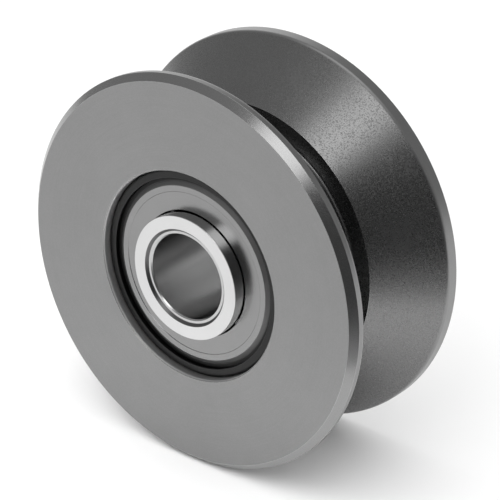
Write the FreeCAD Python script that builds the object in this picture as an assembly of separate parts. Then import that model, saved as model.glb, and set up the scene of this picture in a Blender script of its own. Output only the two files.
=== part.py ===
"""V-groove track roller, bore mounted: a grooved steel wheel on two shielded ball bearings.

The wheel turns about +Y and its centre is the origin. The front is at -Y, +Z is up, sizes are in millimetres.
Every round piece is an outline of (radius, y) points turned about the Y axis. A point may carry a third
number, the radius that rounds its corner. Pieces of a bearing are drawn for the back bearing, and the front
bearing is their mirror image.
"""
import FreeCAD
import Part
import math
import os

# --- wheel ---
wheel_diameter = 88.9
wheel_width = 36.5
rim_chamfer = 1.5
groove_angle = 90.0          # included angle of the V
groove_mouth = 29.3          # across the two sharp edges of the V, before they are rounded
groove_offset = -0.6         # the groove's middle lies this far from the wheel's, towards the front
groove_edge_round = 1.2
relief_width = 5.7           # slot at the root of the V
relief_depth = 4.1
relief_round = 0.6
bore_edge_break = 0.33

# --- bore ---
bore_diameter = 19.09
sleeve_wall = 0.885
sleeve_end_recess = 0.55     # sleeve's end below the inner ring's face
sleeve_bore_chamfer = 0.3

# --- bearings ---
inner_ring_diameter = 27.9
inner_ring_stand_out = 0.8   # inner ring's end face beyond the wheel's face
ball_diameter = 7.938
balls_per_row = 8
race_depth = 1.109           # bottom of a raceway below the land beside it
race_clearance = 0.04        # between a ball and the bottom of its raceway
groove_conformity = 0.52     # raceway radius over ball diameter
bearing_diameter = 47.0
bearing_width = 14.0         # of the outer ring
bearing_recess = 1.6         # outer ring's face below the wheel's face
ring_corner = 0.8
ring_edge_break = 0.15
ring_bore_chamfer = 0.55
shoulder_height = 2.5        # rib in the wheel's bore that the outer rings seat on
spacer_step = 0.9            # spacer's outside below the inner ring's

# --- shields ---
shield_seat_width = 1.7      # step in the outer ring that a shield is crimped on
shield_seat_depth = 1.45     # that step below the outer ring's face
shield_thickness = 0.4
shield_face_depth = 0.42     # shield's face below the outer ring's face
shield_rim_width = 0.8       # rolled rim, from the outer ring's land outwards
shield_plate_margin = 0.1    # the flat plate ends this far inside the land
shield_step_margin = 1.55    # the plate's step is this far inside the land
shield_step = 0.12
shield_gap = 0.25            # between a shield and the inner ring

# --- cage ---
cage_thickness = 0.7
cage_band = 3.0              # radial width of the cage
pocket_clearance = 0.12
rivet_share = 0.36           # shank's diameter over the flat between two pockets
rivet_head_share = 0.56      # head's diameter over the same flat
rivet_head_height = 0.45

# --- worked out from the sizes above ---
wheel_radius = wheel_diameter / 2
half_width = wheel_width / 2
half_overall = half_width + inner_ring_stand_out
sleeve_radius = bore_diameter / 2 + sleeve_wall
inner_land_radius = inner_ring_diameter / 2
outer_land_radius = inner_land_radius + ball_diameter + 2 * (race_clearance - race_depth)
pitch_radius = (inner_land_radius + outer_land_radius) / 2
ball_radius = ball_diameter / 2
race_radius = groove_conformity * ball_diameter
ball_pitch_angle = 360.0 / balls_per_row
bearing_radius = bearing_diameter / 2
bearing_outer_y = half_width - bearing_recess
bearing_inner_y = bearing_outer_y - bearing_width
bearing_middle_y = (bearing_outer_y + bearing_inner_y) / 2
shield_seat_radius = outer_land_radius + shield_seat_width
shield_seat_y = bearing_outer_y - shield_seat_depth
outer_corner = min(ring_corner, 0.6 * (bearing_radius - shield_seat_radius))
pocket_radius = ball_radius + pocket_clearance
bulge_radius = pocket_radius + cage_thickness
bulge_half_width = math.sqrt(bulge_radius ** 2 - cage_thickness ** 2)
cage_flat = 2 * (pitch_radius * math.sin(math.radians(ball_pitch_angle / 2)) - bulge_half_width)
rivet_radius = rivet_share * cage_flat / 2
rivet_head_radius = rivet_head_share * cage_flat / 2

ORIGIN = FreeCAD.Vector(0, 0, 0)
AXLE = FreeCAD.Vector(0, 1, 0)


def corner_arc(before, corner, after, radius):
    """Start, middle and end of the arc that rounds one corner of an outline."""
    towards_before = (before - corner).normalize()
    towards_after = (after - corner).normalize()
    half_corner = towards_before.getAngle(towards_after) / 2
    reach = radius / math.tan(half_corner)
    bisector = (towards_before + towards_after).normalize()
    middle = corner + bisector * (radius / math.sin(half_corner) - radius)
    return corner + towards_before * reach, middle, corner + towards_after * reach


def outline_face(points):
    """Flat face inside a closed outline of (radius, y) or (radius, y, corner radius) points."""
    corners = [FreeCAD.Vector(point[0], point[1], 0) for point in points]
    count = len(points)
    edges = []
    pen = None
    first = None
    for index in range(count + 1):
        here = index % count
        corner = corners[here]
        radius = points[here][2] if len(points[here]) > 2 else 0
        if radius:
            start, middle, end = corner_arc(corners[here - 1], corner, corners[(here + 1) % count], radius)
        else:
            start, middle, end = corner, None, corner
        if pen is not None:
            edges.append(Part.LineSegment(pen, start).toShape())
        if middle is not None and index < count:
            edges.append(Part.Arc(start, middle, end).toShape())
        if first is None:
            first = start
        pen = end
    return Part.Face(Part.Wire(edges))


def turned(points):
    """Solid made by turning an outline about the Y axis."""
    solid = outline_face(points).revolve(ORIGIN, AXLE, 360)
    if solid.Volume < 0:
        solid.reverse()
    return solid


def mirrored(shape):
    """Mirror image of a shape in the wheel's middle plane."""
    return shape.mirror(ORIGIN, AXLE)


def mirrored_in_bearing(shape):
    """Mirror image of a shape in the back bearing's own middle plane."""
    return shape.mirror(FreeCAD.Vector(0, bearing_middle_y, 0), AXLE)


def raceway(bottom_radius, towards_axle):
    """Ring-shaped cutter for a raceway whose bottom is at the given radius."""
    centre_radius = bottom_radius + race_radius if towards_axle else bottom_radius - race_radius
    return Part.makeTorus(centre_radius, race_radius, FreeCAD.Vector(0, bearing_middle_y, 0), AXLE)


def make_wheel():
    """Grooved wheel, with a seat for an outer ring at each side of a rib in its bore."""
    mouth = groove_mouth / 2
    slot = relief_width / 2
    root_radius = wheel_radius - (mouth - slot) / math.tan(math.radians(groove_angle / 2))
    slot_radius = root_radius - relief_depth
    rib_radius = bearing_radius - shoulder_height
    chamfer_radius = wheel_radius - rim_chamfer
    chamfer_y = half_width - rim_chamfer
    break_radius = bearing_radius + bore_edge_break
    break_y = half_width - bore_edge_break
    outline = [
        (chamfer_radius, -half_width),
        (wheel_radius, -chamfer_y),
        (wheel_radius, groove_offset - mouth, groove_edge_round),
        (root_radius, groove_offset - slot),
        (slot_radius, groove_offset - slot, relief_round),
        (slot_radius, groove_offset + slot, relief_round),
        (root_radius, groove_offset + slot),
        (wheel_radius, groove_offset + mouth, groove_edge_round),
        (wheel_radius, chamfer_y),
        (chamfer_radius, half_width),
        (break_radius, half_width),
        (bearing_radius, break_y),
        (bearing_radius, bearing_inner_y),
        (rib_radius, bearing_inner_y),
        (rib_radius, -bearing_inner_y),
        (bearing_radius, -bearing_inner_y),
        (bearing_radius, -break_y),
        (break_radius, -half_width),
    ]
    return turned(outline)


def make_outer_ring():
    """Outer ring of the back bearing, with a step at each end that a shield is crimped on."""
    far_seat_y = bearing_inner_y + shield_seat_depth
    outline = [
        (shield_seat_radius, bearing_outer_y, ring_edge_break),
        (bearing_radius, bearing_outer_y, outer_corner),
        (bearing_radius, bearing_inner_y, outer_corner),
        (shield_seat_radius, bearing_inner_y, ring_edge_break),
        (shield_seat_radius, far_seat_y),
        (outer_land_radius, far_seat_y),
        (outer_land_radius, shield_seat_y),
        (shield_seat_radius, shield_seat_y),
    ]
    return turned(outline).cut(raceway(outer_land_radius + race_depth, False))


def make_inner_ring():
    """Inner ring of the back bearing, longer than the outer ring towards the outside."""
    outline = [
        (sleeve_radius + ring_bore_chamfer, half_overall),
        (inner_land_radius, half_overall, ring_edge_break),
        (inner_land_radius, bearing_inner_y, ring_edge_break),
        (sleeve_radius + ring_bore_chamfer, bearing_inner_y),
        (sleeve_radius, bearing_inner_y + ring_bore_chamfer),
        (sleeve_radius, half_overall - ring_bore_chamfer),
    ]
    return turned(outline).cut(raceway(inner_land_radius - race_depth, True))


def make_outer_shield():
    """Pressed plate that closes the outer end of the back bearing, crimped into the outer ring."""
    face_y = bearing_outer_y - shield_face_depth
    bottom_y = face_y - shield_thickness
    foot_y = shield_seat_y + shield_thickness
    inner_radius = inner_land_radius + shield_gap
    step_radius = outer_land_radius - shield_step_margin
    plate_radius = outer_land_radius - shield_plate_margin
    rim_radius = outer_land_radius + shield_rim_width
    outline = [
        (inner_radius, face_y - shield_step),
        (step_radius, face_y - shield_step),
        (step_radius + shield_step, face_y),
        (plate_radius, face_y, shield_thickness),
        (rim_radius, foot_y),
        (shield_seat_radius, foot_y),
        (shield_seat_radius, shield_seat_y),
        (rim_radius - shield_thickness, shield_seat_y),
        (plate_radius - shield_thickness / 2, bottom_y),
        (step_radius + shield_step, bottom_y),
        (step_radius, bottom_y - shield_step),
        (inner_radius, bottom_y - shield_step),
    ]
    return turned(outline)


def pitch_point(turns):
    """Point on the back bearing's pitch circle, a number of ball spacings round from the top about +Y."""
    angle = math.radians(ball_pitch_angle * turns)
    return FreeCAD.Vector(pitch_radius * math.sin(angle), bearing_middle_y, pitch_radius * math.cos(angle))


def ball_centre(number):
    """Middle of a ball of the back bearing; ball 1 is at the top."""
    return pitch_point(number - 1)


def make_ball(number):
    """One ball of the back bearing."""
    return Part.makeSphere(ball_radius, ball_centre(number))


def make_cage_half():
    """Half of the pressed cage of the back bearing: a flat band that bulges round each ball."""
    inner_radius = pitch_radius - cage_band / 2
    outer_radius = pitch_radius + cage_band / 2
    half = turned([
        (inner_radius, bearing_middle_y),
        (outer_radius, bearing_middle_y),
        (outer_radius, bearing_middle_y + cage_thickness),
        (inner_radius, bearing_middle_y + cage_thickness),
    ])
    band = turned([
        (inner_radius, bearing_middle_y),
        (outer_radius, bearing_middle_y),
        (outer_radius, bearing_middle_y + 2 * bulge_radius),
        (inner_radius, bearing_middle_y + 2 * bulge_radius),
    ])
    for number in range(1, balls_per_row + 1):
        bulge = Part.makeSphere(bulge_radius, ball_centre(number))
        half = half.fuse(bulge.common(band))
    for number in range(1, balls_per_row + 1):
        half = half.cut(Part.makeSphere(pocket_radius, ball_centre(number)))
        half = half.cut(rivet_shank(number))
    return half.removeSplitter()


def rivet_place(number):
    """Middle of the rivet that follows a ball, half a spacing further on."""
    return pitch_point(number - 0.5)


def rivet_shank(number):
    """Shank of one cage rivet, through both halves."""
    start = rivet_place(number) - AXLE * cage_thickness
    return Part.makeCylinder(rivet_radius, 2 * cage_thickness, start, AXLE)


def make_rivets():
    """All rivets of the back bearing's cage, each a shank with a flat head at both ends."""
    rivets = []
    for number in range(1, balls_per_row + 1):
        middle = rivet_place(number)
        low_face = middle - AXLE * (cage_thickness + rivet_head_height)
        low_head = Part.makeCylinder(rivet_head_radius, rivet_head_height, low_face, AXLE)
        high_face = middle + AXLE * cage_thickness
        high_head = Part.makeCylinder(rivet_head_radius, rivet_head_height, high_face, AXLE)
        rivets.append(rivet_shank(number).fuse([low_head, high_head]).removeSplitter())
    return Part.makeCompound(rivets)


def make_sleeve():
    """Thin sleeve that sizes the bore for the pin and carries both inner rings."""
    inner_radius = bore_diameter / 2
    end = half_overall - sleeve_end_recess
    return turned([
        (inner_radius + sleeve_bore_chamfer, end),
        (sleeve_radius, end),
        (sleeve_radius, -end),
        (inner_radius + sleeve_bore_chamfer, -end),
        (inner_radius, -end + sleeve_bore_chamfer),
        (inner_radius, end - sleeve_bore_chamfer),
    ])


def make_spacer():
    """Plain ring on the sleeve that holds the two inner rings apart."""
    outer_radius = inner_land_radius - spacer_step
    return turned([
        (sleeve_radius, bearing_inner_y),
        (outer_radius, bearing_inner_y),
        (outer_radius, -bearing_inner_y),
        (sleeve_radius, -bearing_inner_y),
    ])


def bearing_pieces():
    """Every piece of the back bearing, by the name it has without front_ or back_."""
    cage_outer_half = make_cage_half()
    outer_shield = make_outer_shield()
    pieces = {
        "outer_ring": make_outer_ring(),
        "inner_ring": make_inner_ring(),
        "outer_shield": outer_shield,
        "inner_shield": mirrored_in_bearing(outer_shield),
        "cage_outer_half": cage_outer_half,
        "cage_inner_half": mirrored_in_bearing(cage_outer_half),
        "cage_rivets": make_rivets(),
    }
    for number in range(1, balls_per_row + 1):
        pieces["ball_%d" % number] = make_ball(number)
    return pieces


def all_pieces():
    """Every piece of the roller by its node name."""
    pieces = {
        "wheel": make_wheel(),
        "sleeve": make_sleeve(),
        "ring_spacer": make_spacer(),
    }
    for name, shape in bearing_pieces().items():
        pieces["back_" + name] = shape
        pieces["front_" + name] = mirrored(shape)
    return pieces


os.makedirs("parts", exist_ok=True)
for node_name, node_shape in all_pieces().items():
    node_shape.exportStep("parts/%s.step" % node_name)
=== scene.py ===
"""V-groove track roller: finished surfaces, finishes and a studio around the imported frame.

All lengths are in metres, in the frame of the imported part: the wheel's middle is the origin, the wheel
turns about +Y, its front is at -Y and +Z is up. A point (radius, y) of an outline and a turn from +Z
towards +X give a point of a turned piece.
"""
import math

import bpy
import numpy as np
from bpy.props import FloatProperty, FloatVectorProperty, IntProperty, PointerProperty
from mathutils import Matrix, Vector


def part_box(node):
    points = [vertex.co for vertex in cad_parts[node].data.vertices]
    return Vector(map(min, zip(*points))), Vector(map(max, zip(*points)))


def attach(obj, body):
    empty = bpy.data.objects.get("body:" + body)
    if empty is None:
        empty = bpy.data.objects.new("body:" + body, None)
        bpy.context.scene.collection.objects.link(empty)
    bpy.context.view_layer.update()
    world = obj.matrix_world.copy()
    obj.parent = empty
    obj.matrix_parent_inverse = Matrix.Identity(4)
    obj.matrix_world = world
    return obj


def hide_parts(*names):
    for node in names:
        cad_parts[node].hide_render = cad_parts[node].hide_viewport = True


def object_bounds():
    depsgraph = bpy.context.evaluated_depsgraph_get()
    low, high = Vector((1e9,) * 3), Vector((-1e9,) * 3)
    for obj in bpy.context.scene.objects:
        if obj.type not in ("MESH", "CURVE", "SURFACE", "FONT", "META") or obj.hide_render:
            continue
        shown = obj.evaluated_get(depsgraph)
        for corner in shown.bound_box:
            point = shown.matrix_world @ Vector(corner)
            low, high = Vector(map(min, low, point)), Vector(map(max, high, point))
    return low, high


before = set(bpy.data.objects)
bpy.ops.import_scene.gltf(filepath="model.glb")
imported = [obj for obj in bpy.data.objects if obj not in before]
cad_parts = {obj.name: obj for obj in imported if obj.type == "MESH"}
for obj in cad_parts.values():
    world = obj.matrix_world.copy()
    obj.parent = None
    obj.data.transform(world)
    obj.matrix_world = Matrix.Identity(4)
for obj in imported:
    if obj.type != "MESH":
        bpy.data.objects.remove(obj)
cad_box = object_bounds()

bl_info = {
    "name": "V-groove track roller",
    "version": (1, 0, 0),
    "blender": (4, 5, 0),
    "location": "3D View > Sidebar > Roller",
    "description": "Makes the finished pieces of a grooved track roller and a plain studio around it",
    "category": "Add Mesh",
}

MM = 0.001
SIDES = ("front", "back")
EDGE = "edge"
ARC_STEPS = 8                # flats in the rounding of one corner
SHARPEST = 0.4 * MM          # a rounding up to this size counts as a full edge
SMALL_EDGE = 0.08 * MM       # rounding of an edge that is only broken
FINE_EDGE = SMALL_EDGE / 2   # the same on thin sheet and on the sleeve's small chamfers
RACE_FIT = 0.985             # rounding of a raceway over its radius, so that it fits between its edges
BLUR = 0.1 * MM              # half the width of the border between two finishes

# Two guard points on each side of a rounding keep the flats flat. Each is (how far from the rounding it is,
# the largest share of the room there that this may be).
FAR_GUARD = (0.35 * MM, 0.40)
NEAR_GUARD = (0.06 * MM, 0.12)


def outer_radius(node):
    """Largest radius of a round CAD node about the wheel's axis."""
    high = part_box(node)[1]
    return max(high.x, high.z)


def y_range(node):
    """Lowest and highest y of a CAD node."""
    low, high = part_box(node)
    return low.y, high.y


def ball_radius():
    """Radius of the bearings' balls."""
    low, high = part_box("back_ball_1")
    return (high.y - low.y) / 2


def length(name, description, millimetres):
    """Property for a length whose default is given in millimetres."""
    return FloatProperty(name=name, description=description, default=millimetres * MM, min=0.0,
                         precision=5, subtype="DISTANCE", unit="LENGTH")


def tint(name, description, grey):
    """Property for a metal's colour, with a neutral grey as its default."""
    return FloatVectorProperty(name=name, description=description, default=(grey, grey, grey),
                               min=0.0, max=1.0, size=3, subtype="COLOR")


def number(name, description, value):
    """Property for a plain positive number."""
    return FloatProperty(name=name, description=description, default=value, min=0.0, precision=4)


def angle(name, description, degrees):
    """Property for an angle whose default is given in degrees."""
    return FloatProperty(name=name, description=description, default=math.radians(degrees),
                         subtype="ANGLE", unit="ROTATION")


class RollerSizes(bpy.types.PropertyGroup):
    """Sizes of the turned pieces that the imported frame's boxes don't give."""

    rim_chamfer: length("Rim chamfer", "Chamfer between the wheel's faces and its rims", 1.5)
    groove_angle: angle("Groove angle", "Included angle of the V", 90.0)
    groove_mouth: length("Groove mouth", "Across the two edges of the V before they are rounded", 29.3)
    groove_offset: length("Groove offset", "How far the groove lies in front of the wheel's middle", 0.6)
    groove_edge_round: length("Groove edge", "Rounding of the V's two edges", 1.2)
    relief_width: length("Relief width", "Width of the slot at the root of the V", 5.7)
    relief_depth: length("Relief depth", "Depth of the slot at the root of the V", 4.1)
    relief_round: length("Relief round", "Rounding at the bottom of the slot", 0.6)
    bore_edge_break: length("Seat edge", "Chamfer at the mouth of each bearing seat", 0.33)
    shoulder_height: length("Shoulder", "Rib between the bearing seats, above them", 2.5)
    bore_diameter: length("Bore", "Bore of the sleeve", 19.09)
    sleeve_chamfer: length("Sleeve chamfer", "Chamfer at each end of the sleeve's bore", 0.3)
    race_depth: length("Race depth", "Bottom of a raceway below the land beside it", 1.109)
    race_conformity: number("Race conformity", "Raceway radius over ball diameter", 0.52)
    ring_corner: length("Ring corner", "Rounding of an outer ring's outside corners", 0.8)
    ring_edge_break: length("Ring edge", "Rounding of a ring's other edges", 0.15)
    ring_bore_chamfer: length("Ring bore chamfer", "Chamfer at each end of an inner ring's bore", 0.55)
    shield_seat_width: length("Shield seat", "Radial width of the step that a shield sits on", 1.7)
    shield_thickness: length("Shield sheet", "Thickness of a shield", 0.4)
    shield_rim_width: length("Shield rim", "Rolled rim of a shield, outside the ring's land", 0.8)
    shield_plate_margin: length("Plate margin", "The flat plate ends this far inside the land", 0.1)
    shield_step_margin: length("Step margin", "The plate's step is this far inside the land", 1.55)
    shield_step: length("Plate step", "Height of the step in a shield's plate", 0.12)
    shield_gap: length("Shield gap", "Between a shield and the inner ring", 0.25)
    turns: IntProperty(name="Turns", description="Points round a turned piece", default=360, min=48, max=720)


class RollerFinishes(bpy.types.PropertyGroup):
    """Colours of the roller's metals."""

    wheel: tint("Wheel", "Blackened and oiled steel of the wheel", 0.258)
    outer_ring: tint("Outer ring", "Dark hardened steel of the outer rings", 0.034)
    inner_ring: tint("Inner ring", "Bright ground steel of the inner rings", 0.64)
    shield: tint("Shield", "Matt plated sheet of the shields", 0.265)
    shield_rim: tint("Shield rim", "Rolled rim of the shields", 0.20)
    # Painted shade: the foot's near-black colour stands for the shade in the gap where the ring holds the
    # shield.
    shield_foot_shade: tint("Shield foot", "Edge of a shield, dark with grease where the ring holds it", 0.035)
    # Painted shade: the inner rings' bore chamfers are darkened for the shade in the groove they form with
    # the sleeve.
    ring_chamfer_shade: tint("Ring chamfer", "Dark chamfer at each end of an inner ring's bore", 0.14)
    sleeve: tint("Sleeve", "Turned ends of the sleeve", 0.52)
    bore: tint("Bore", "Honed and oiled bore of the sleeve", 0.45)
    spacer: tint("Spacer", "Plain turned steel of the spacer", 0.50)
    ball: tint("Balls", "Polished steel of the balls", 0.85)
    cage: tint("Cage", "Pressed sheet steel of the cages", 0.46)
    rivet: tint("Rivets", "Headed wire of the rivets", 0.55)


class StudioSetup(bpy.types.PropertyGroup):
    """Camera, lights, walls and floor."""

    azimuth: angle("Azimuth", "Camera's direction round the roller, from the front towards +X", 39.54)
    elevation: angle("Elevation", "Camera's height above the horizon", 26.03)
    distance: length("Distance", "From the roller's middle to the camera", 564.8)
    aim_right: length("Aim right", "Sideways move of the camera", 1.69)
    aim_down: length("Aim down", "Downward move of the camera", 0.5)
    lens: number("Lens", "Focal length in millimetres", 189.3)
    sky: number("Sky", "Brightness of the studio's walls in the metal", 0.40)
    key: number("Key light", "Brightness of the soft box beside the camera", 2.2)
    wash: number("Floor wash", "Brightness of the soft boxes that light the floor", 0.6)
    floor: tint("Floor", "Pale floor", 0.92)


# ---------------------------------------------------------------- outlines and meshes


def unit(vectors):
    """Each row divided by its own length."""
    return vectors / np.linalg.norm(vectors, axis=1, keepdims=True)


def rounded(corners):
    """Closed outline with rounded corners, from a list of (radius, y, rounding).

    A circle of the corner's rounding touches both of its sides at rounding / tan(half the corner's angle)
    from the corner. The arc goes from one touching point to the other: centre + rounding * (cos(f) * away +
    sin(f) * onward), with f from 0 to the turn. Away points from the centre to the first touching point, and
    onward along the first side. Two guard points follow on each side, as far as the side has room. The
    second result says how much of an edge each point is: 1 on a sharp outward corner, -1 on a sharp inward
    one, 0 on the flats.
    """
    table = np.array(corners)
    place = table[:, :2]
    rounding = table[:, 2]
    before = unit(np.roll(place, 1, axis=0) - place)
    after = unit(np.roll(place, -1, axis=0) - place)
    half = np.arccos(np.clip((before * after).sum(axis=1), -1, 1)) / 2
    reach = rounding / np.tan(half)
    side = np.linalg.norm(np.roll(place, -1, axis=0) - place, axis=1)
    room_after = side - reach - np.roll(reach, -1)
    room_before = np.roll(room_after, 1)
    if room_after.min() < 0:
        raise ValueError("a rounding is larger than its side at corner %d" % int(room_after.argmin()))
    start = place + before * reach[:, None]
    end = place + after * reach[:, None]
    centre = place + unit(before + after) * (rounding / np.sin(half))[:, None]
    away = unit(start - centre)
    turn = (math.pi - 2 * half)[:, None] * np.linspace(0, 1, ARC_STEPS + 1)
    arc = centre[:, None] + rounding[:, None, None] * (
        np.cos(turn)[:, :, None] * away[:, None] - np.sin(turn)[:, :, None] * before[:, None])
    guards, share = np.array([FAR_GUARD, NEAR_GUARD]).T
    back_off = np.minimum(guards, share * room_before[:, None])
    go_on = np.minimum(guards, share * room_after[:, None])[:, ::-1]
    leading = start[:, None] + back_off[:, :, None] * before[:, None]
    trailing = end[:, None] + go_on[:, :, None] * after[:, None]
    outline = np.concatenate([leading, arc, trailing], axis=1).reshape(-1, 2)
    x, y = place.T
    area = (x * np.roll(y, -1) - np.roll(x, -1) * y).sum()
    outward = -np.sign(before[:, 0] * after[:, 1] - before[:, 1] * after[:, 0]) * np.sign(area)
    strength = outward * np.clip(SHARPEST / rounding, 0, 1)
    fade = np.concatenate([[0, 0.5], np.ones(ARC_STEPS + 1), [0.5, 0]])
    edge = (strength[:, None] * fade).ravel()
    if area > 0:
        return outline[::-1], edge[::-1]
    return outline, edge


def mirrored(corners):
    """The same outline for the front bearing."""
    return [(radius, -y, rounding) for radius, y, rounding in corners]


def raceway_corners(land, depth, race_radius, middle, towards_axle):
    """Three corners of a raceway.

    They are its two edges on the land, and between them the point where the tangents at the edges meet, so
    that rounding that point by the race's radius gives the race.
    """
    half_chord = math.sqrt(race_radius ** 2 - (race_radius - depth) ** 2)
    slope = half_chord / (race_radius - depth)
    way = -1 if towards_axle else 1
    return [
        (land, middle + half_chord, SMALL_EDGE),
        (land + way * half_chord * slope, middle, RACE_FIT * race_radius),
        (land, middle - half_chord, SMALL_EDGE),
    ]


def put_mesh(name, points, face_groups, edge):
    """Smooth-shaded object from an array of points, arrays of faces and the edge value of each point."""
    mesh = bpy.data.meshes.new(name)
    mesh.vertices.add(len(points))
    mesh.vertices.foreach_set("co", points.astype(np.float32).ravel())
    around = np.concatenate([group.ravel() for group in face_groups])
    counts = np.concatenate([np.full(len(group), group.shape[1]) for group in face_groups])
    mesh.loops.add(len(around))
    mesh.loops.foreach_set("vertex_index", around.astype(np.int32))
    mesh.polygons.add(len(counts))
    mesh.polygons.foreach_set("loop_start", (np.cumsum(counts) - counts).astype(np.int32))
    mesh.update(calc_edges=True)
    if mesh.validate():
        raise RuntimeError("the mesh of %s has faces that don't hold together" % name)
    mesh.shade_smooth()
    mesh.attributes.new(EDGE, "FLOAT", "POINT").data.foreach_set("value", edge.astype(np.float32))
    piece = bpy.data.objects.new(name, mesh)
    bpy.context.scene.collection.objects.link(piece)
    return piece


def turned_piece(name, outline, edge, turns):
    """Ring: the outline's point (r, y) at turn a lies at (r sin a, y, r cos a), closed both ways."""
    turn = np.linspace(0, 2 * math.pi, turns, endpoint=False)
    radius = outline[:, :1]
    along = np.broadcast_to(outline[:, 1:], (len(outline), turns))
    points = np.stack([radius * np.sin(turn), along, radius * np.cos(turn)], axis=-1)
    here = np.arange(along.size).reshape(along.shape)
    ahead = np.roll(here, -1, axis=0)
    quads = np.stack([here, ahead, np.roll(ahead, -1, axis=1), np.roll(here, -1, axis=1)], axis=-1)
    return put_mesh(name, points.reshape(-1, 3), [quads.reshape(-1, 4)], np.repeat(edge, turns))


def ball_piece(name, middle, radius, rows=32, turns=64):
    """Ball: at angle h from the front pole and turn a, middle + radius * (sin h sin a, -cos h, sin h cos a).

    The rows between the poles are a grid of quads, and a fan of triangles closes each pole on one point.
    """
    height = np.linspace(0, math.pi, rows + 1)[1:-1, None]
    turn = np.linspace(0, 2 * math.pi, turns, endpoint=False)
    along = np.broadcast_to(-np.cos(height), (rows - 1, turns))
    grid = np.stack([np.sin(height) * np.sin(turn), along, np.sin(height) * np.cos(turn)], axis=-1)
    poles = np.array([[0, -1, 0], [0, 1, 0]])
    points = np.concatenate([grid.reshape(-1, 3), poles]) * radius + np.array(middle)
    here = np.arange(along.size).reshape(along.shape)
    beside = np.roll(here, -1, axis=1)
    quads = np.stack([here[:-1], beside[:-1], beside[1:], here[1:]], axis=-1).reshape(-1, 4)
    front_pole = np.full(turns, along.size)
    front_fan = np.stack([front_pole, beside[0], here[0]], axis=-1)
    back_fan = np.stack([front_pole + 1, here[-1], beside[-1]], axis=-1)
    triangles = np.concatenate([front_fan, back_fan])
    return put_mesh(name, points, [quads, triangles], np.zeros(len(points)))


def finish_piece(piece, node, body, material):
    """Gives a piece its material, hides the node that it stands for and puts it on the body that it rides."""
    piece.data.materials.append(material)
    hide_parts(node)
    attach(piece, body)


# ---------------------------------------------------------------- shader trees


class Signal:
    """An output socket of a shader tree. Sums, products and powers of signals add their Math nodes."""

    def __init__(self, tree, socket):
        self.tree = tree
        self.socket = socket

    def maths(self, operation, first, second):
        return self.tree.node("ShaderNodeMath", {"operation": operation}, {0: first, 1: second})

    def __add__(self, other):
        return self.maths("ADD", self, other)

    def __sub__(self, other):
        return self.maths("SUBTRACT", self, other)

    def __mul__(self, other):
        return self.maths("MULTIPLY", self, other)

    def __truediv__(self, other):
        return self.maths("DIVIDE", self, other)

    def __pow__(self, other):
        return self.maths("POWER", self, other)

    def __rsub__(self, other):
        return self.maths("SUBTRACT", other, self)

    def __rtruediv__(self, other):
        return self.maths("DIVIDE", other, self)

    __radd__ = __add__
    __rmul__ = __mul__


class Tree:
    """A node tree in the making."""

    def __init__(self, node_tree):
        self.node_tree = node_tree
        node_tree.nodes.clear()

    def node(self, kind, settings=None, inputs=None, output=0):
        """Adds a node: its settings first, then the values or links of its sockets. Returns one output."""
        made = self.node_tree.nodes.new(kind)
        for name, value in (settings or {}).items():
            setattr(made, name, value)
        for name, value in (inputs or {}).items():
            if isinstance(value, Signal):
                self.node_tree.links.new(value.socket, made.inputs[name])
            else:
                made.inputs[name].default_value = value
        if not made.outputs:
            return made
        return Signal(self, made.outputs[output])

    def between(self, value, low, high, low_result=0.0, high_result=1.0):
        """Smooth step of a value from one result to the other, as it goes from low to high."""
        return self.node("ShaderNodeMapRange", {"interpolation_type": "SMOOTHSTEP", "clamp": True},
                         {"Value": value, "From Min": low, "From Max": high,
                          "To Min": low_result, "To Max": high_result})


class Finish(Tree):
    """A material in the making, and the patterns that its shader can have."""

    def __init__(self, name):
        self.material = bpy.data.materials.new(name)
        self.material.use_nodes = True
        super().__init__(self.material.node_tree)
        self.place = self.node("ShaderNodeTexCoord", output="Object")
        self.x, self.y, self.z = (self.node("ShaderNodeSeparateXYZ", None, {0: self.place}, axis)
                                  for axis in range(3))
        self.radius = (self.x * self.x + self.z * self.z) ** 0.5

    def noise(self, size, detail=2.0, roughness=0.5):
        """Even noise from 0 to 1, with patches of about the given size."""
        return self.node("ShaderNodeTexNoise", {"noise_dimensions": "3D"},
                         {"Vector": self.place, "Scale": 1.0 / size, "Detail": detail,
                          "Roughness": roughness})

    def turned_lines(self, pitch, shortness):
        """Noise drawn out round the axis, from 0 to 1.

        Its lines are a pitch apart in radius and y, and change about shortness times in a radian of turn.
        """
        around = shortness / self.radius
        vector = self.node("ShaderNodeCombineXYZ", None,
                           {0: self.radius / pitch, 1: self.y / pitch, 2: self.x * around})
        return self.node("ShaderNodeTexNoise", {"noise_dimensions": "4D"},
                         {"Vector": vector, "W": self.z * around, "Scale": 1.0, "Detail": 2.0})

    def edge(self):
        """1 on a sharp outward edge, -1 in a sharp inward corner, 0 on the flats."""
        named = {"attribute_type": "GEOMETRY", "attribute_name": EDGE}
        return self.node("ShaderNodeAttribute", named, None, "Fac")

    def past(self, value, border, blur=BLUR):
        """0 before a border and 1 past it."""
        return self.between(value, border - blur, border + blur)

    def mixed(self, amount, first, second):
        """Mix of two colours. The node's sockets for colours are its inputs 6 and 7 and its output 2."""
        return self.node("ShaderNodeMix", {"data_type": "RGBA"}, {0: amount, 6: first, 7: second}, 2)

    def raised(self, height, distance, strength=1.0):
        """Normal of a surface whose height is the signal times the distance."""
        inputs = {"Height": height, "Distance": distance, "Strength": strength}
        return self.node("ShaderNodeBump", None, inputs)

    def shade(self, colour, roughness, normal, metallic=1.0, **constants):
        """Adds the shader and ends the tree."""
        inputs = {"Base Color": colour, "Roughness": roughness, "Metallic": metallic, "Normal": normal}
        inputs.update(constants)
        surface = self.node("ShaderNodeBsdfPrincipled", None, inputs)
        self.node("ShaderNodeOutputMaterial", None, {"Surface": surface})
        return self.material


def opaque(colour, factor=1.0):
    """A property's colour times a factor, as the four numbers of a colour socket."""
    return (*[min(1.0, part * factor) for part in colour], 1.0)


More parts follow.
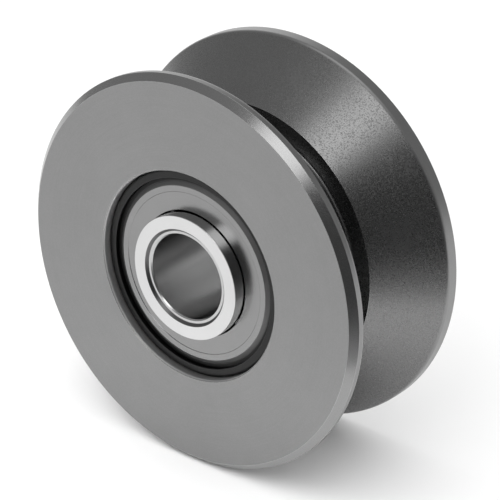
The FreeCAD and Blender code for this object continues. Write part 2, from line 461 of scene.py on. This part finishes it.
def blackened_steel(colour, radius, half_width, chamfer, seat):
    """Turned steel under black oxide and oil: tool lines, a fine grain, faint clouds and rubbed edges.

    The chamfers at the rims are cut last and shine more. The flanks of the groove are a shade darker and have
    fine dull specks, and the bearing seats are bare and dull.
    """
    finish = Finish("black_oxide_steel")
    depth = (finish.y * finish.y) ** 0.5
    on_chamfer = finish.past(depth, half_width - chamfer) * finish.past(finish.radius, radius - chamfer)
    in_groove = (finish.between(depth, half_width - 2 * chamfer, half_width - 3 * chamfer)
                 * finish.between(finish.radius, radius - BLUR, radius - 5 * BLUR))
    lines = finish.turned_lines(pitch=0.16 * MM, shortness=2.0)
    grain = finish.noise(0.20 * MM, detail=1.0, roughness=0.6)
    speck_noise = finish.noise(0.34 * MM, detail=1.0, roughness=0.6)
    dull_specks = in_groove * finish.between(speck_noise, 0.50, 0.62)
    cloud = finish.noise(11 * MM, detail=3.0, roughness=0.6)
    rubbed = finish.between(finish.edge() + 0.5 * (finish.noise(0.9 * MM) - 0.5), 0.55, 1.1)
    in_seat = finish.between(finish.radius, seat + BLUR, seat + 3 * BLUR, 1.0, 0.0)
    grainy = (0.4 + 1.3 * in_groove) * (grain - 0.5)
    tone = 0.5 + 0.25 * (cloud - 0.5) + grainy + 0.2 * (lines - 0.5)
    coat = finish.mixed(tone, opaque(colour, 0.70), opaque(colour, 1.30))
    coat = finish.mixed(in_groove * 0.5, coat, opaque(colour, 0.65))
    coat = finish.mixed(on_chamfer * 0.5, coat, opaque(colour, 1.3))
    coat = finish.mixed(in_seat, coat, opaque(colour, 2.2))
    base = finish.mixed(rubbed * 0.6, coat, opaque(colour, 1.7))
    oiled = 0.34 - 0.07 * in_groove + 0.13 * dull_specks
    worked = oiled - 0.11 * on_chamfer - 0.08 * rubbed + 0.3 * in_seat
    roughness = worked + 0.08 * (grain - 0.5) + 0.05 * (cloud - 0.5)
    normal = finish.raised(lines + grain, 0.004 * MM, strength=0.6)
    return finish.shade(base, roughness, normal)


def dark_ring_steel(colour):
    """Hardened outer ring, almost black: ground lines round the axis and slightly bare edges."""
    finish = Finish("outer_ring_steel")
    lines = finish.turned_lines(pitch=0.10 * MM, shortness=3.0)
    grain = finish.noise(0.2 * MM)
    rubbed = finish.between(finish.edge() + 0.4 * (grain - 0.5), 0.6, 1.1)
    coat = finish.mixed(0.5 + 0.6 * (lines - 0.5), opaque(colour, 0.7), opaque(colour, 1.3))
    base = finish.mixed(rubbed * 0.4, coat, opaque(colour, 1.8))
    roughness = 0.33 + 0.15 * (lines - 0.5)
    normal = finish.raised(lines, 0.003 * MM, strength=0.5)
    return finish.shade(base, roughness, normal)


def bright_ground_steel(name, colour, smooth, shortness, inside=None):
    """Bare ground or honed steel: bright, with short fine lines round the axis and a soft stain in places.

    Smooth is its roughness. The inside, if there is one, is (colour, radius that it reaches to, added
    roughness). On the inner rings that colour is painted shade of the groove at their bore chamfers.
    """
    finish = Finish(name)
    lines = finish.turned_lines(0.07 * MM, shortness)
    broad = finish.turned_lines(pitch=0.5 * MM, shortness=2.0)
    cloud = finish.noise(4 * MM, detail=3.0, roughness=0.6)
    tone = 0.5 + 0.5 * (lines - 0.5) + 0.3 * (cloud - 0.5)
    base = finish.mixed(tone, opaque(colour, 0.9), opaque(colour, 1.08))
    if inside is not None:
        inside_colour, reach, dull = inside
        blur = 0.03 * MM
        bore = finish.between(finish.radius, reach - blur, reach + blur, 1.0, 0.0)
        base = finish.mixed(bore, base, opaque(inside_colour))
        smooth = smooth + dull * bore
    roughness = smooth + 0.10 * (lines - 0.5) + 0.06 * (broad - 0.5)
    normal = finish.raised(lines, 0.002 * MM, strength=0.5)
    return finish.shade(base, roughness, normal)


def plated_sheet(colour, rim_colour, rim_radius, foot_shade_colour, foot_radius):
    """Pressed shield: matt plated plate, darker on its rolled rim, darkest on the foot in its ring as painted
    shade.
    """
    finish = Finish("shield_sheet_steel")
    lines = finish.turned_lines(pitch=0.25 * MM, shortness=4.0)
    grain = finish.noise(0.22 * MM, detail=2.0, roughness=0.6)
    cloud = finish.noise(5 * MM, detail=3.0, roughness=0.6)
    tone = 0.5 + 0.5 * (grain - 0.5) + 0.4 * (cloud - 0.5)
    plate = finish.mixed(tone, opaque(colour, 0.88), opaque(colour, 1.12))
    ragged = finish.radius + 0.15 * MM * (lines - 0.5)
    rolled = finish.past(ragged, rim_radius)
    # Painted shade: the foot inside the ring's gap turns near black.
    shaded_foot = finish.past(ragged, foot_radius, 2 * BLUR)
    base = finish.mixed(rolled, plate, opaque(rim_colour))
    base = finish.mixed(shaded_foot, base, opaque(foot_shade_colour))
    roughness = 0.24 + 0.08 * (grain - 0.5) + 0.05 * (lines - 0.5) + 0.35 * rolled
    normal = finish.raised(grain + 0.4 * lines, 0.003 * MM, strength=0.5)
    return finish.shade(base, roughness, normal)


def plain_steel(name, colour, roughness, grain_size):
    """Plain metal of the pieces inside: fine grain and a slight change of gloss."""
    finish = Finish(name)
    grain = finish.noise(grain_size, detail=2.0, roughness=0.6)
    cloud = finish.noise(3 * MM, detail=2.0, roughness=0.5)
    tone = 0.5 + 0.6 * (cloud - 0.5) + 0.3 * (grain - 0.5)
    base = finish.mixed(tone, opaque(colour, 0.85), opaque(colour, 1.15))
    normal = finish.raised(grain, 0.002 * MM, strength=0.5)
    return finish.shade(base, roughness + 0.4 * roughness * (grain - 0.5), normal)


# ---------------------------------------------------------------- operators


class ROLLER_OT_wheel(bpy.types.Operator):
    """Make the grooved wheel with its two bearing seats"""

    bl_idname = "roller.wheel"
    bl_label = "Wheel"

    def execute(self, context):
        sizes = context.scene.roller_sizes
        radius = outer_radius("wheel")
        half_width = y_range("wheel")[1]
        mouth = sizes.groove_mouth / 2
        slot = sizes.relief_width / 2
        middle = -sizes.groove_offset
        root = radius - (mouth - slot) / math.tan(sizes.groove_angle / 2)
        slot_bottom = root - sizes.relief_depth
        seat = outer_radius("back_outer_ring")
        seat_end = y_range("back_outer_ring")[0]
        rib = seat - sizes.shoulder_height
        chamfer = sizes.rim_chamfer
        edge_break = sizes.bore_edge_break
        corners = [
            (radius - chamfer, -half_width, SMALL_EDGE),
            (radius, chamfer - half_width, SMALL_EDGE),
            (radius, middle - mouth, sizes.groove_edge_round),
            (root, middle - slot, SMALL_EDGE),
            (slot_bottom, middle - slot, sizes.relief_round),
            (slot_bottom, middle + slot, sizes.relief_round),
            (root, middle + slot, SMALL_EDGE),
            (radius, middle + mouth, sizes.groove_edge_round),
            (radius, half_width - chamfer, SMALL_EDGE),
            (radius - chamfer, half_width, SMALL_EDGE),
            (seat + edge_break, half_width, SMALL_EDGE),
            (seat, half_width - edge_break, SMALL_EDGE),
            (seat, seat_end, SMALL_EDGE),
            (rib, seat_end, SMALL_EDGE),
            (rib, -seat_end, SMALL_EDGE),
            (seat, -seat_end, SMALL_EDGE),
            (seat, edge_break - half_width, SMALL_EDGE),
            (seat + edge_break, -half_width, SMALL_EDGE),
        ]
        outline, edge = rounded(corners)
        piece = turned_piece("grooved_wheel", outline, edge, sizes.turns)
        colour = context.scene.roller_finishes.wheel
        material = blackened_steel(colour, radius, half_width, chamfer, seat)
        finish_piece(piece, "wheel", "wheel_assembly", material)
        return {"FINISHED"}


class ROLLER_OT_outer_rings(bpy.types.Operator):
    """Make the outer ring of each bearing"""

    bl_idname = "roller.outer_rings"
    bl_label = "Outer rings"

    def execute(self, context):
        sizes = context.scene.roller_sizes
        material = dark_ring_steel(context.scene.roller_finishes.outer_ring)
        radius = outer_radius("back_outer_ring")
        inner_end, outer_end = y_range("back_outer_ring")
        seat_radius = outer_radius("back_outer_shield")
        seat_y = y_range("back_outer_shield")[0]
        far_seat_y = inner_end + outer_end - seat_y
        land = seat_radius - sizes.shield_seat_width
        race_radius = sizes.race_conformity * 2 * ball_radius()
        race = raceway_corners(land, sizes.race_depth, race_radius, (inner_end + outer_end) / 2,
                               towards_axle=False)
        corners = [
            (seat_radius, outer_end, sizes.ring_edge_break),
            (radius, outer_end, sizes.ring_corner),
            (radius, inner_end, sizes.ring_corner),
            (seat_radius, inner_end, sizes.ring_edge_break),
            (seat_radius, far_seat_y, SMALL_EDGE),
            (land, far_seat_y, SMALL_EDGE),
            *reversed(race),
            (land, seat_y, SMALL_EDGE),
            (seat_radius, seat_y, SMALL_EDGE),
        ]
        for side in SIDES:
            outline, edge = rounded(corners if side == "back" else mirrored(corners))
            piece = turned_piece(side + "_outer_race", outline, edge, sizes.turns)
            finish_piece(piece, side + "_outer_ring", "wheel_assembly", material)
        return {"FINISHED"}


class ROLLER_OT_inner_rings(bpy.types.Operator):
    """Make the inner ring of each bearing"""

    bl_idname = "roller.inner_rings"
    bl_label = "Inner rings"

    def execute(self, context):
        sizes = context.scene.roller_sizes
        finishes = context.scene.roller_finishes
        land = outer_radius("back_inner_ring")
        inner_end, outer_end = y_range("back_inner_ring")
        ring_low, ring_high = y_range("back_outer_ring")
        bore = outer_radius("sleeve")
        chamfer = sizes.ring_bore_chamfer
        chamfer_dullness = 0.25
        # Painted shade: the bore's chamfers get a dark colour for the shade in the groove next to the sleeve.
        inside = (finishes.ring_chamfer_shade, bore + chamfer, chamfer_dullness)
        material = bright_ground_steel("ground_ring_steel", finishes.inner_ring, smooth=0.08,
                                       shortness=40.0, inside=inside)
        race_radius = sizes.race_conformity * 2 * ball_radius()
        race = raceway_corners(land, sizes.race_depth, race_radius, (ring_low + ring_high) / 2,
                               towards_axle=True)
        corners = [
            (bore + chamfer, outer_end, SMALL_EDGE),
            (land, outer_end, sizes.ring_edge_break),
            *race,
            (land, inner_end, sizes.ring_edge_break),
            (bore + chamfer, inner_end, SMALL_EDGE),
            (bore, inner_end + chamfer, SMALL_EDGE),
            (bore, outer_end - chamfer, SMALL_EDGE),
        ]
        for side in SIDES:
            outline, edge = rounded(corners if side == "back" else mirrored(corners))
            piece = turned_piece(side + "_inner_race", outline, edge, sizes.turns)
            finish_piece(piece, side + "_inner_ring", "inner_assembly", material)
        return {"FINISHED"}


class ROLLER_OT_shields(bpy.types.Operator):
    """Make the two shields of each bearing"""

    bl_idname = "roller.shields"
    bl_label = "Shields"

    def execute(self, context):
        sizes = context.scene.roller_sizes
        finishes = context.scene.roller_finishes
        seat_radius = outer_radius("back_outer_shield")
        seat_y, face_y = y_range("back_outer_shield")
        land = seat_radius - sizes.shield_seat_width
        sheet = sizes.shield_thickness
        inner = outer_radius("back_inner_ring") + sizes.shield_gap
        step = land - sizes.shield_step_margin
        plate = land - sizes.shield_plate_margin
        rim = land + sizes.shield_rim_width
        foot_y = seat_y + sheet
        low_y = face_y - sizes.shield_step
        material = plated_sheet(finishes.shield, finishes.shield_rim, plate, finishes.shield_foot_shade, rim)
        corners = [
            (inner, low_y, SMALL_EDGE),
            (step, low_y, FINE_EDGE),
            (step + sizes.shield_step, face_y, FINE_EDGE),
            (plate, face_y, sheet),
            (rim, foot_y, SMALL_EDGE),
            (seat_radius, foot_y, SMALL_EDGE),
            (seat_radius, seat_y, SMALL_EDGE),
            (rim - sheet, seat_y, SMALL_EDGE),
            (plate - sheet / 2, face_y - sheet, SMALL_EDGE),
            (step + sizes.shield_step, face_y - sheet, FINE_EDGE),
            (step, low_y - sheet, FINE_EDGE),
            (inner, low_y - sheet, SMALL_EDGE),
        ]
        ring_low, ring_high = y_range("back_outer_ring")
        across = [(radius, ring_low + ring_high - y, rounding) for radius, y, rounding in corners]
        for place, drawn in (("outer", corners), ("inner", across)):
            for side in SIDES:
                outline, edge = rounded(drawn if side == "back" else mirrored(drawn))
                piece = turned_piece("%s_%s_cover" % (side, place), outline, edge, sizes.turns)
                node = "%s_%s_shield" % (side, place)
                finish_piece(piece, node, "wheel_assembly", material)
        return {"FINISHED"}


class ROLLER_OT_sleeve(bpy.types.Operator):
    """Make the sleeve that lines the bore, and the spacer on it"""

    bl_idname = "roller.sleeve"
    bl_label = "Sleeve and spacer"

    def execute(self, context):
        sizes = context.scene.roller_sizes
        finishes = context.scene.roller_finishes
        outside = outer_radius("sleeve")
        bore = sizes.bore_diameter / 2
        chamfer = sizes.sleeve_chamfer
        end = y_range("sleeve")[1]
        outline, edge = rounded([
            (bore + chamfer, end, FINE_EDGE),
            (outside, end, SMALL_EDGE),
            (outside, -end, SMALL_EDGE),
            (bore + chamfer, -end, FINE_EDGE),
            (bore, chamfer - end, FINE_EDGE),
            (bore, end - chamfer, FINE_EDGE),
        ])
        piece = turned_piece("bore_sleeve", outline, edge, sizes.turns)
        bore_dullness = 0.0
        inside = (finishes.bore, bore + SMALL_EDGE, bore_dullness)
        material = bright_ground_steel("sleeve_steel", finishes.sleeve, smooth=0.22, shortness=30.0,
                                       inside=inside)
        finish_piece(piece, "sleeve", "inner_assembly", material)

        spacer_radius = outer_radius("ring_spacer")
        low, high = y_range("ring_spacer")
        outline, edge = rounded([
            (outside, high, SMALL_EDGE),
            (spacer_radius, high, SMALL_EDGE),
            (spacer_radius, low, SMALL_EDGE),
            (outside, low, SMALL_EDGE),
        ])
        piece = turned_piece("inner_ring_spacer", outline, edge, sizes.turns)
        material = bright_ground_steel("spacer_steel", finishes.spacer, smooth=0.35, shortness=3.0)
        finish_piece(piece, "ring_spacer", "inner_assembly", material)
        return {"FINISHED"}


class ROLLER_OT_balls(bpy.types.Operator):
    """Make the balls of both bearings"""

    bl_idname = "roller.balls"
    bl_label = "Balls"

    def execute(self, context):
        colour = context.scene.roller_finishes.ball
        material = plain_steel("ball_steel", colour, roughness=0.08, grain_size=0.5 * MM)
        for node in sorted(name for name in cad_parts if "_ball_" in name):
            low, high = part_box(node)
            piece = ball_piece(node.replace("_ball_", "_bearing_ball_"), (low + high) / 2, ball_radius())
            finish_piece(piece, node, node, material)
        return {"FINISHED"}


class ROLLER_OT_cages(bpy.types.Operator):
    """Finish the pressed cages and their rivets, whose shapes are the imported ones"""

    bl_idname = "roller.cages"
    bl_label = "Cages and rivets"

    def execute(self, context):
        finishes = context.scene.roller_finishes
        sheet = plain_steel("cage_sheet_steel", finishes.cage, roughness=0.38, grain_size=0.15 * MM)
        wire = plain_steel("rivet_steel", finishes.rivet, roughness=0.30, grain_size=0.10 * MM)
        for name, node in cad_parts.items():
            if "_cage_" in name:
                node.material_slots[0].material = wire if name.endswith("rivets") else sheet
        return {"FINISHED"}


# ---------------------------------------------------------------- studio

# The walls as the metal mirrors them, with angles in degrees. A round patch is (azimuth and elevation of its
# middle, how far from there it ends, how far from there it is full).
DARK_PATCH = (43, 12, 34, 20)      # round the camera
PALE_PATCH = (-138, 2, 42, 14)     # low, on the other side of the roller
CEILING = (60, 78)                 # elevations where the bright ceiling begins and is full
DARKENING = 0.7                    # share of the walls' brightness that the dark patch takes away
PALE_LEVEL = 1.2
CEILING_LEVEL = 1.3

# Soft boxes: name, azimuth and elevation in degrees, distance, side, share of the setting's brightness.
# Only the key box shows in the metal. The washes light the floor.
KEY_BOX = ("key_box", 17.5, 43.5, 0.8, 0.34, 1)
FLOOR_WASHES = (
    ("front_wash", -40, 74, 0.7, 0.6, 1),
    ("foot_wash", -10, 26, 0.068, 0.05, 6),
    ("back_wash", 140, 62, 1.0, 1.0, 0.85),
)

FLOOR_REACH = 3                    # from the roller's middle to each side of the floor
FLAG_FADE = 0.045                  # the dark flag is paler up to this height above the floor
SENSOR_WIDTH = 36                  # of the camera, in millimetres
CLIP_START = 0.01


def towards(azimuth, elevation):
    """Unit vector at an azimuth from the front towards +X and an elevation above the horizon."""
    flat = math.cos(elevation)
    return Vector((math.sin(azimuth) * flat, -math.cos(azimuth) * flat, math.sin(elevation)))


def soft_box(name, azimuth, elevation, distance, side, brightness):
    """Square soft light that faces the roller. Its power is brightness times pi times its area."""
    lamp = bpy.data.lights.new(name, "AREA")
    lamp.shape = "SQUARE"
    lamp.size = side
    lamp.energy = brightness * math.pi * side * side
    light = bpy.data.objects.new(name, lamp)
    direction = towards(math.radians(azimuth), math.radians(elevation))
    light.location = direction * distance
    light.rotation_euler = direction.to_track_quat("Z", "Y").to_euler()
    light.visible_camera = False
    bpy.context.scene.collection.objects.link(light)
    return light


def wall_patch(tree, direction, azimuth, elevation, ends, full):
    """1 in the middle of a round patch of the walls and 0 outside it, from angles in degrees."""
    middle = towards(math.radians(azimuth), math.radians(elevation))
    nearness = tree.node("ShaderNodeVectorMath", {"operation": "DOT_PRODUCT"},
                         {0: direction, 1: middle}, "Value")
    return tree.between(nearness, math.cos(math.radians(ends)), math.cos(math.radians(full)))


def studio_walls(world, brightness):
    """Walls that look white and light the floor evenly.

    The metal mirrors them as bright as asked, with a dark patch, a pale one and a bright ceiling.
    """
    world.use_nodes = True
    tree = Tree(world.node_tree)
    direction = tree.node("ShaderNodeTexCoord", output="Generated")
    dark = wall_patch(tree, direction, *DARK_PATCH)
    height = tree.node("ShaderNodeSeparateXYZ", None, {0: direction}, 2)
    ceiling = tree.between(height, *[math.sin(math.radians(elevation)) for elevation in CEILING])
    pale = wall_patch(tree, direction, *PALE_PATCH)
    level = (brightness * (1 - DARKENING * dark) + (CEILING_LEVEL - brightness) * ceiling
             + (PALE_LEVEL - brightness) * pale)
    seen = tree.node("ShaderNodeLightPath", output="Is Camera Ray")
    on_floor = tree.node("ShaderNodeLightPath", output="Is Diffuse Ray")
    strength = level + (seen + on_floor) * (1 - level)
    surface = tree.node("ShaderNodeBackground", None, {"Color": (1, 1, 1, 1), "Strength": strength})
    tree.node("ShaderNodeOutputWorld", None, {"Surface": surface})


def flat_piece(name, middle, across, up):
    """Flat sheet on 2 by 2 points: middle + u * across + v * up, with u and v at -1 and at 1."""
    u, v = np.meshgrid([-1, 1], [-1, 1])
    points = np.array(middle) + u[:, :, None] * np.array(across) + v[:, :, None] * np.array(up)
    return put_mesh(name, points.reshape(-1, 3), [np.array([[0, 1, 3, 2]])], np.zeros(4))


def dark_flag(azimuth, distance, half_width, low, high):
    """Upright card of dark cloth, paler towards the floor, that only reflections see."""
    out = towards(math.radians(azimuth), 0.0)
    half_height = (high - low) / 2
    middle = out * distance + Vector((0, 0, low + half_height))
    across = (out.y * half_width, -out.x * half_width, 0)
    card = flat_piece("dark_flag", middle, across, (0, 0, half_height))
    card.visible_camera = False
    card.visible_diffuse = False
    card.visible_shadow = False
    finish = Finish("dark_cloth")
    height = finish.between(finish.z + 2 * MM * finish.noise(10 * MM), low, low + FLAG_FADE)
    base = finish.mixed(height, (0.55, 0.55, 0.55, 1), (0.10, 0.10, 0.10, 1))
    weave = finish.raised(finish.noise(1 * MM), 0.1 * MM)
    card.data.materials.append(finish.shade(base, 0.9, weave, metallic=0.0))
    return card


def floor_finish(colour):
    """Matt pale floor with a hardly visible unevenness."""
    finish = Finish("pale_floor")
    cloud = finish.noise(200 * MM)
    base = finish.mixed(cloud, opaque(colour, 0.99), opaque(colour, 1.01))
    normal = finish.raised(finish.noise(3 * MM), 0.01 * MM, strength=0.3)
    return finish.shade(base, 0.9, normal, metallic=0.0, **{"Specular IOR Level": 0.0})


class ROLLER_OT_studio(bpy.types.Operator):
    """Make the floor, the lights and the camera"""

    bl_idname = "roller.studio"
    bl_label = "Studio"

    def execute(self, context):
        scene = context.scene
        studio = scene.roller_studio
        floor = flat_piece("floor", (0, 0, cad_box[0].z), (FLOOR_REACH, 0, 0), (0, FLOOR_REACH, 0))
        floor.data.materials.append(floor_finish(studio.floor))

        scene.world = bpy.data.worlds.new("studio_walls")
        studio_walls(scene.world, studio.sky)
        *place, share = KEY_BOX
        soft_box(*place, share * studio.key)
        for *place, share in FLOOR_WASHES:
            soft_box(*place, share * studio.wash).visible_glossy = False
        dark_flag(48, 0.086, 0.10, cad_box[0].z, 0.05)

        back = towards(studio.azimuth, studio.elevation)
        turn = back.to_track_quat("Z", "Y")
        shift = turn @ Vector((studio.aim_right, -studio.aim_down, 0))
        lens = bpy.data.cameras.new("camera")
        lens.lens = studio.lens
        lens.sensor_width = SENSOR_WIDTH
        lens.clip_start = CLIP_START
        camera = bpy.data.objects.new("camera", lens)
        camera.location = back * studio.distance + shift
        camera.rotation_euler = turn.to_euler()
        scene.collection.objects.link(camera)
        scene.camera = camera

        scene.view_settings.view_transform = "Standard"
        scene.view_settings.look = "None"
        return {"FINISHED"}


class ROLLER_PT_pieces(bpy.types.Panel):
    """Buttons for the roller's pieces and its studio, and their settings"""

    bl_label = "Track roller"
    bl_idname = "ROLLER_PT_pieces"
    bl_space_type = "VIEW_3D"
    bl_region_type = "UI"
    bl_category = "Roller"

    def draw(self, context):
        for operator in OPERATORS:
            self.layout.operator(operator.bl_idname)
        for place in GROUPS:
            group = getattr(context.scene, place)
            box = self.layout.box()
            for name in group.__annotations__:
                box.prop(group, name)


GROUPS = {"roller_sizes": RollerSizes, "roller_finishes": RollerFinishes, "roller_studio": StudioSetup}
OPERATORS = (ROLLER_OT_wheel, ROLLER_OT_outer_rings, ROLLER_OT_inner_rings, ROLLER_OT_shields,
             ROLLER_OT_sleeve, ROLLER_OT_balls, ROLLER_OT_cages, ROLLER_OT_studio)


def register():
    """Adds the add-on's classes and its settings on the scene."""
    for group in (*GROUPS.values(), *OPERATORS, ROLLER_PT_pieces):
        bpy.utils.register_class(group)
    for name, group in GROUPS.items():
        setattr(bpy.types.Scene, name, PointerProperty(type=group))


def unregister():
    """Takes them away again."""
    for name in GROUPS:
        delattr(bpy.types.Scene, name)
    for group in (ROLLER_PT_pieces, *reversed(OPERATORS), *GROUPS.values()):
        bpy.utils.unregister_class(group)


def main():
    """Makes every piece and the studio."""
    register()
    bpy.ops.roller.wheel()
    bpy.ops.roller.outer_rings()
    bpy.ops.roller.inner_rings()
    bpy.ops.roller.shields()
    bpy.ops.roller.sleeve()
    bpy.ops.roller.balls()
    bpy.ops.roller.cages()
    bpy.ops.roller.studio()


if __name__ == "__main__":
    main()
